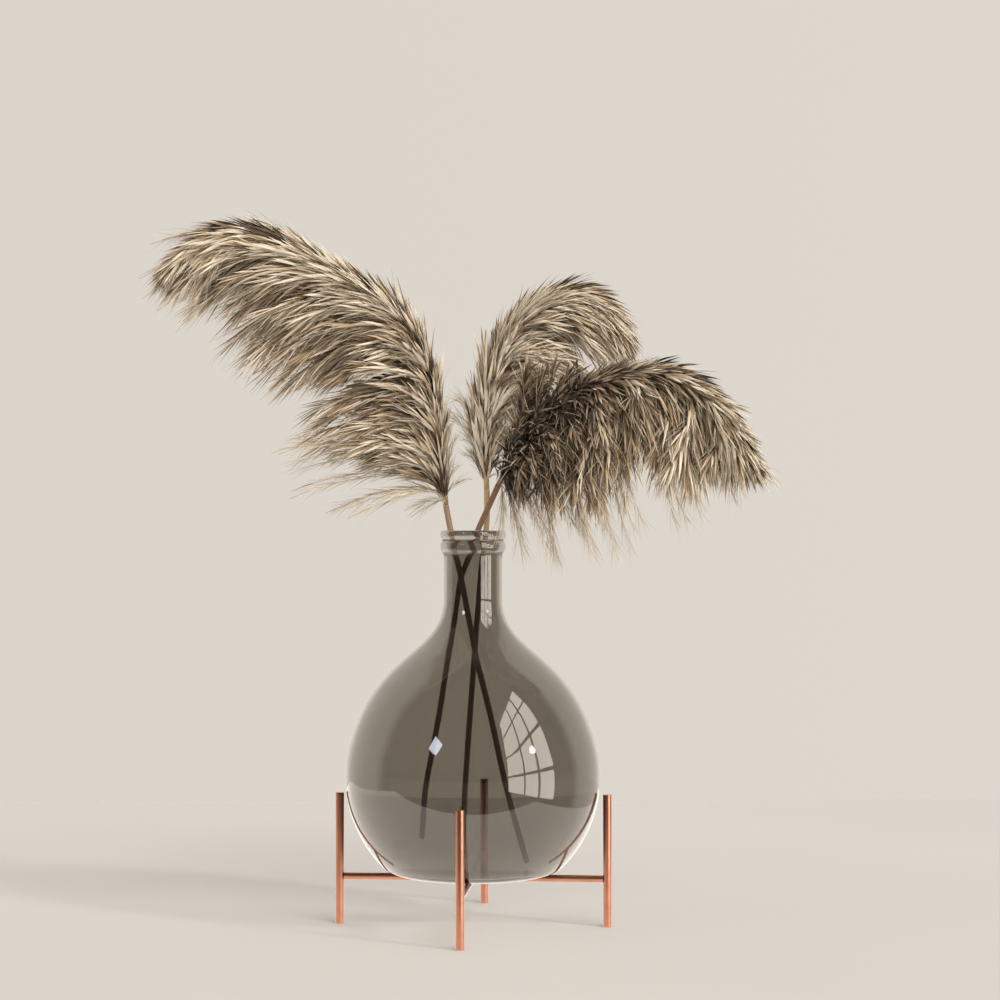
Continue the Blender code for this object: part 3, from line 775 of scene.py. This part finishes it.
bladeKinds = {  # mm, degrees of lean, and "pale" for the tone at a lock's tip
    "full": {"step": 2.0, "from": 0.02, "length": (22, 38), "width": (2.0, 3.8), "tilt": (7, 29), "pale": 0.95},
    "hair": {"step": 4.5, "from": 0.3, "length": (20, 38), "width": (0.4, 0.8), "tilt": (12, 36), "pale": 1.0},
    "wisp": {"step": 2.0, "from": 0.25, "length": (14, 30), "width": (0.45, 0.9), "tilt": (12, 34), "pale": 1.05},
}
bladeFaces = np.array([(0, 2, 1, 1), (0, 3, 2, 2), (1, 2, 5, 4), (2, 3, 6, 5), (4, 5, 7, 7), (5, 6, 7, 7)])


def bladeRows(count):
    rows = (np.arange(count) * 8)[:, None, None] + bladeFaces[None]
    return [tuple(row[:3]) if row[2] == row[3] else tuple(row) for row in rows.reshape(-1, 4).tolist()]


def makePlume(which):
    plume = plumes[which]
    axis = plumeAxis(which)
    rng = np.random.default_rng(plume["seed"] + 100)
    core = axis[::2]
    points, faces, uvs = rod(core, np.linspace(stems["radius"] - stems["skin"], 1.0, len(core)), 12)
    points, uvs, tones = [points], [uvs], [np.zeros(len(points))]
    caneFaces = len(faces)
    total = len(points[0])
    locks = plumeLocks(which, axis)
    for path, s, angle, full, pale in locks:
        path = keepSide(path.copy(), 5.0, plume["side"])  # mm clear of the divide
        share = (1 + math.cos(angle)) / 2
        lockMiddle = path[24]
        outward = lockMiddle - axis[np.argmin(np.linalg.norm(axis - lockMiddle, axis=1))]
        # painted light and shade: the plume's rail, a random spread, the lock's paleness, and lighter on the back of
        # the bend than on the hanging side
        shade = rail(plume["shade"], s)[0] * rng.uniform(0.85, 1.15) * pale * (1.2 - 0.2 * share)
        ruffle = rail(plume["ruffle"], s)[0]
        branch = rod(path[::4], np.linspace(0.7, 0.25, len(path[::4])), 3)
        branchTone = plumeMake["branchTones"][0 if full else 1]
        rows = [(*branch, np.full(len(branch[0]), branchTone))]
        for kind in ("full", "hair") if full else ("wisp",):
            look = dict(bladeKinds[kind])
            if kind == "full":
                look["step"] /= 0.5 + 0.5 * full
            radius = rail(plume["radius"], s)[0] * 0.55 * full
            size = rail(plume["bladeSize"], s)[0] if kind == "full" else 1.0
            bladeShade = {"full": shade, "hair": plumeMake["hairShade"], "wisp": plumeMake["wispShade"]}[kind]
            # rootShade: painted shade at each lock's root by the rachis, deeper on the hanging side
            blades, bladeUvs, bladeTones = bladesAlong(
                path, rng, look, size, radius, 0.04 + 0.1 * share, ruffle * full,
                bladeShade, 0.85 - 0.45 * share, unit(outward),
            )
            rows.append((keepSide(blades, 0.6, plume["side"]), bladeRows(len(blades) // 8), bladeUvs, bladeTones))
        for newPoints, newFaces, newUvs, newTones in rows:
            points.append(newPoints)
            faces += [tuple(v + total for v in face) for face in newFaces]
            uvs.append(newUvs)
            tones.append(newTones)
            total += len(newPoints)
    points, uvs, tones = (np.concatenate(rows) for rows in (points, uvs, tones))
    mesh = meshOf("plume_" + which + "_grass", points, faces, uvs, tones)
    triangles = sum(len(polygon.vertices) - 2 for polygon in mesh.polygons)
    print("plume", which, len(locks), "locks,", triangles, "triangles")
    grass = dryGrass("dry_grass_" + which, plumeMake["colours"])
    addPiece("plume_" + which + "_grass", mesh, grass, "plume", "plume_" + which)
    mesh.materials.append(dryCane("dry_rachis_" + which, stems["topColours"][which], stems["topColours"][which], 0.0))
    mesh.polygons.foreach_set("material_index", [1] * caneFaces + [0] * (len(mesh.polygons) - caneFaces))


for which in ("left", "middle", "right"):
    makePlume(which)

print("studio")
onePane = ((0, 1), (0, 1))
studio = {
    "floorColours": ("#CCCBCA", "#CFCECC"),
    "floorReach": 60000,  # mm to the sides and front
    "floorBack": 1035,  # mm behind the vase where the floor meets the backdrop
    "backdropLeft": "#DBD4CB",
    "backdropRight": "#DED7CE",
    "sidesLit": "#FFF6EC",  # what reflections see beside and behind the vase
    "frontDim": "#544A42",  # and of the darker studio on the camera's side
    # where each light stands, its spread in degrees, strength and colour
    "lights": {
        "key": ((7.0, -4.5, 3.3), 8, 1.15, "#FFF3E4"),
        "softbox": ((3.0, -5.5, 6.7), 36, 1.45, "#FFFAF4"),
    },
    # each lit panel's middle, the point it faces and its size in mm, its panes, strength, colour and roll
    "panels": {
        # a glowing board just under the floor: a painted reflection of the pale floor, seen only in reflections
        "floor_reflection_board": ((-248, 315, -0.05), (-248, 315, 900), (1486, 1440), onePane, 2.28, "#E2DAD0", 0),
        "grid_softbox": (
            (2000, -1925, 1625), (0, -1925, 1625), (2910, 4150),
            ((0, 0.495, 0.759, 1), (0, 0.205, 0.47, 0.735, 1)), 6.4, "#FFF4E8", 0,
        ),
        "square_lamp": ((-1080, -1480, 1085), (-36, -115, 190), (400, 400), onePane, 12.0, "#E9F1FF", 28),
        "round_lamp": ((1550, -1000, 900), (56, -108, 186), (210, 178), None, 16.0, "#FFFFFF", 0),
    },
    "paneBar": 100.0,  # mm between two panes
}


def paintedFloor():
    # Board with rolled matt paint: a pale, even surface without reflections
    material, tree, shader = newMaterial("painted_board")
    shader.inputs["Roughness"].default_value = 0.8
    shader.inputs["Specular IOR Level"].default_value = 0.0
    where = addNode(tree, "ShaderNodeTexCoord")
    cloud = addNode(tree, "ShaderNodeTexNoise", {"Scale": 1.6, "Detail": 2.0}, {"Vector": (where, "Object")})
    tone = addNode(tree, "ShaderNodeValToRGB", {}, {"Fac": (cloud, "Fac")})
    setStops(tone, list(zip((0.3, 0.7), studio["floorColours"])))
    tree.links.new(tone.outputs["Color"], shader.inputs["Base Color"])
    return material


def makeFloor():
    reach, back = studio["floorReach"], studio["floorBack"]
    corners = [(-reach, -reach, 0), (reach, -reach, 0), (reach, back, 0), (-reach, back, 0)]
    mesh = meshOf("floor", corners, [(0, 1, 2, 3)])
    floor = bpy.data.objects.new("floor", mesh)
    scene.collection.objects.link(floor)
    mesh.materials.append(paintedFloor())
    # painted reflection: the glowing board under the floor stands in for it in reflections
    floor.visible_glossy = False  # reflections see the lit board instead


def makePanel(name, centre, towards, size, panes, strength, colour, roll):
    # a lit panel that only reflections see; panes: where its columns and rows end, None makes it round
    points, faces = [], []
    width, height = size
    if panes:
        bar = studio["paneBar"] / 2
        for left, right in zip(panes[0], panes[0][1:]):
            for low, high in zip(panes[1], panes[1][1:]):
                faces.append(tuple(range(len(points), len(points) + 4)))
                x0, x1, z0, z1 = left * width + bar, right * width - bar, low * height + bar, high * height - bar
                points += [(x - width / 2, 0, z - height / 2) for x, z in ((x0, z0), (x1, z0), (x1, z1), (x0, z1))]
    else:
        turns = np.linspace(0, 2 * math.pi, 24, endpoint=False)
        points = [(width / 2 * math.cos(a), 0, height / 2 * math.sin(a)) for a in turns]
        faces = [tuple(range(24))]
    mesh = meshOf(name, points, faces)
    panel = bpy.data.objects.new(name, mesh)
    panel.location = Vector(centre) * mm
    facing = (Vector(towards) * mm - panel.location).to_track_quat("Y", "Z")
    panel.rotation_euler = (facing.to_matrix() @ Matrix.Rotation(math.radians(roll), 3, "Y")).to_euler()
    scene.collection.objects.link(panel)
    material, tree, shader = newMaterial(name + "_light")
    shader.inputs["Base Color"].default_value = (0, 0, 0, 1)
    shader.inputs["Specular IOR Level"].default_value = 0.0
    shader.inputs["Emission Color"].default_value = linearColour(colour)
    shader.inputs["Emission Strength"].default_value = strength
    mesh.materials.append(material)
    panel.visible_camera = panel.visible_diffuse = panel.visible_transmission = panel.visible_shadow = False


def makeLight(name, place, spread, strength, colour):
    # a soft lamp far off in that direction, spread in degrees, so that it lights the floor evenly
    light = bpy.data.lights.new(name, "SUN")
    light.angle = math.radians(spread)
    light.energy = strength
    light.color = linearColour(colour)[:3]
    lamp = bpy.data.objects.new(name, light)
    lamp.location = place
    lamp.rotation_euler = Vector(place).to_track_quat("Z", "Y").to_euler()
    lamp.visible_camera = lamp.visible_glossy = lamp.visible_transmission = False
    scene.collection.objects.link(lamp)
    return lamp


def makeWorld():
    # a pale backdrop, a little lighter to the right; reflections see lit sides and a darker front
    world = bpy.data.worlds.new("studio_backdrop")
    world.use_nodes = True
    scene.world = world
    tree = world.node_tree
    background = tree.nodes["Background"]
    where = addNode(tree, "ShaderNodeTexCoord")
    split = addNode(tree, "ShaderNodeSeparateXYZ", {}, {"Vector": (where, "Generated")})
    across = addNode(tree, "ShaderNodeMapRange", {"From Min": -0.25, "From Max": 0.25}, {"Value": (split, "X")})
    backdrop = addNode(tree, "ShaderNodeValToRGB", {}, {"Fac": (across, "Result")})
    setStops(backdrop, [(0.0, studio["backdropLeft"]), (1.0, studio["backdropRight"])])
    sideways = addNode(tree, "ShaderNodeMath", {"operation": "MULTIPLY", 1: -0.125}, {0: (split, "X")})
    depth = addNode(tree, "ShaderNodeMath", {"operation": "ADD"}, {0: (split, "Y"), 1: (sideways, "Value")})
    behind = addNode(
        tree, "ShaderNodeMapRange", {"interpolation_type": "SMOOTHSTEP", "From Min": 0.28, "From Max": 0.02},
        {"Value": (depth, "Value")},
    )
    around = addNode(tree, "ShaderNodeMix", {"data_type": "RGBA"}, {"Factor": (behind, "Result")})
    around.inputs[6].default_value = linearColour(studio["sidesLit"])
    around.inputs[7].default_value = linearColour(studio["frontDim"])
    path = addNode(tree, "ShaderNodeLightPath")
    seen = addNode(tree, "ShaderNodeMix", {"data_type": "RGBA"}, {"Factor": (path, "Is Glossy Ray")})
    tree.links.new(backdrop.outputs["Color"], seen.inputs[6])
    tree.links.new(around.outputs[2], seen.inputs[7])
    tree.links.new(seen.outputs[2], background.inputs["Color"])
    background.inputs["Strength"].default_value = 1.0
    world.cycles.sampling_method = "NONE"


makeFloor()
makeWorld()
lights = {name: makeLight(name, *row) for name, row in studio["lights"].items()}
# the softbox shines through the glass, as all else is lit through it
casting = bpy.data.collections.new("shade_casters")
for piece in scene.objects:
    if piece.type == "MESH" and piece.name != "vase_glass":
        casting.objects.link(piece)
lights["softbox"].light_linking.blocker_collection = casting
for name, row in studio["panels"].items():
    makePanel(name, *row)
